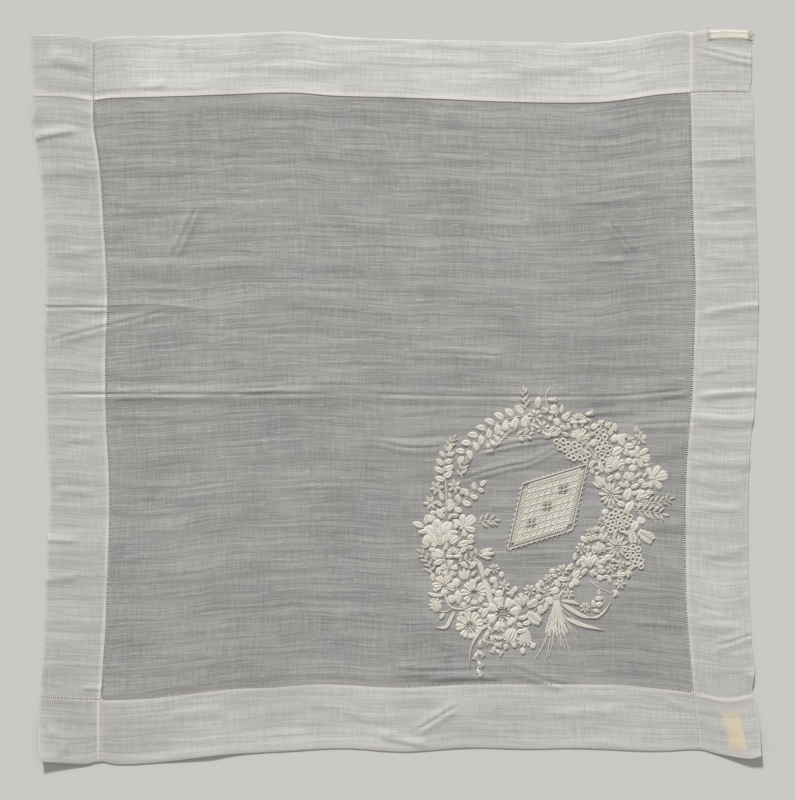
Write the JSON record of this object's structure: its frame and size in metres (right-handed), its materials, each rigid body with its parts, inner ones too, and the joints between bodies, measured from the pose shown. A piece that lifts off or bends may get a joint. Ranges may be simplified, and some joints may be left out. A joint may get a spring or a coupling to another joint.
{
  "type": "embroidered handkerchief",
  "caption": "Square sheer white linen handkerchief laid flat, with wide hemstitched hems and a raised whitework flower wreath in one quarter.",
  "frame": {"origin": "on the surface the cloth rests on, under the middle of its outline", "axes": "+Z out of the embroidered face, +Y up the face, +X to the right across the face"},
  "size_m": [0.4732, 0.477, 0.007],
  "materials": {
    "linen": "matt",
    "tape": "matt"
  },
  "bodies": {
    "root": {"cloth": "linen", "corner_tape": "tape"}
  },
  "joints": []
}
